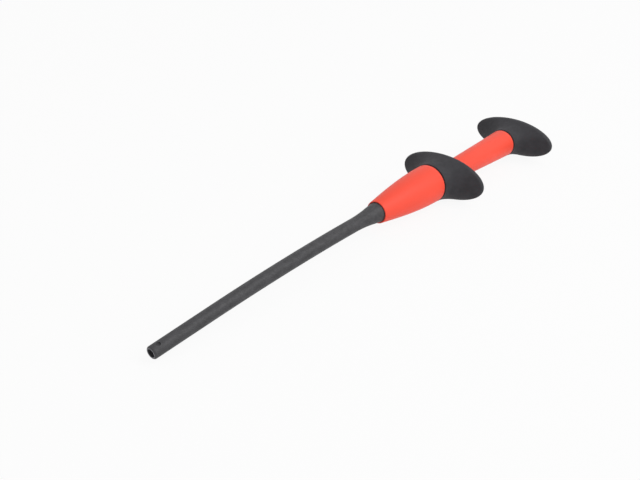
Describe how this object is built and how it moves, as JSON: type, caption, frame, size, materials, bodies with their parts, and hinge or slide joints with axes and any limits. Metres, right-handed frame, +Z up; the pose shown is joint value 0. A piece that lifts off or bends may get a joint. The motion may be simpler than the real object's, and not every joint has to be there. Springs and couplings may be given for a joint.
{
  "type": "plunger test clip",
  "caption": "Syringe-style plunger test clip: flexible insulated shaft, sharp pincer jaws pushed out of its mouth, finger flange, thumb cap and rear plug socket.",
  "frame": {"origin": "on the table under the middle of the clip's length, with the body's axis level", "axes": "+X from the shaft's mouth to the thumb cap along the body's axis, +Z up; the plunger is pushed along -X"},
  "size_m": [0.2246, 0.0402, 0.0188],
  "materials": {
    "shaft_insulation": "matt flexible insulation",
    "red_housing": "fine matt moulding",
    "soft_grip": "soft matt overmould",
    "natural_plastic": "natural moulding",
    "black_plastic": "matt moulding",
    "brass": "turned",
    "steel": "drawn"
  },
  "bodies": {
    "housing": {"shaft": "shaft_insulation", "barrel": "red_housing", "finger_flange": "soft_grip", "flange_core": "red_housing", "shaft_retainer": "natural_plastic", "spring_washer": "steel", "return_spring": "steel", "guide_bush": "natural_plastic"},
    "plunger": {"plunger": "red_housing", "plunger_stop": "natural_plastic", "rod_guide": "natural_plastic", "thumb_cap": "soft_grip", "cap_core": "red_housing", "socket_contact": "brass", "socket_insulator": "black_plastic", "contact_nut": "brass", "drive_rod": "steel", "rod_crimp": "brass", "drive_cable": "steel"},
    "jaw_carrier": {"jaw_ferrule": "brass"},
    "upper_jaw": {"upper_jaw": "steel"},
    "lower_jaw": {"lower_jaw": "steel"}
  },
  "joints": [
    {"name": "plunger_slide", "type": "slide", "parent": "housing", "child": "plunger", "axis": [-1, 0, 0], "range_m": [0, 0.012], "stiffness_N_per_m": 400, "springref_m": -0.01, "deforming": ["return_spring", "drive_cable"]},
    {"name": "jaw_slide", "type": "slide", "parent": "housing", "child": "jaw_carrier", "axis": [-0.9963, 0, -0.0863], "range_m": [0, 0.012]},
    {"name": "upper_jaw_open", "type": "hinge", "parent": "jaw_carrier", "child": "upper_jaw", "pos_m": [-0.09828, 0, 0.00495], "axis": [0, 1, 0], "range_deg": [0, 9]},
    {"name": "lower_jaw_open", "type": "hinge", "parent": "jaw_carrier", "child": "lower_jaw", "pos_m": [-0.09823, 0, 0.00425], "axis": [0, -1, 0], "range_deg": [0, 9]}
  ],
  "couplings": [
    {"joint": "jaw_slide", "follows": "plunger_slide", "ratio": 1},
    {"joint": "upper_jaw_open", "follows": "plunger_slide", "rad_per_m": 13.09},
    {"joint": "lower_jaw_open", "follows": "plunger_slide", "rad_per_m": 13.09}
  ]
}
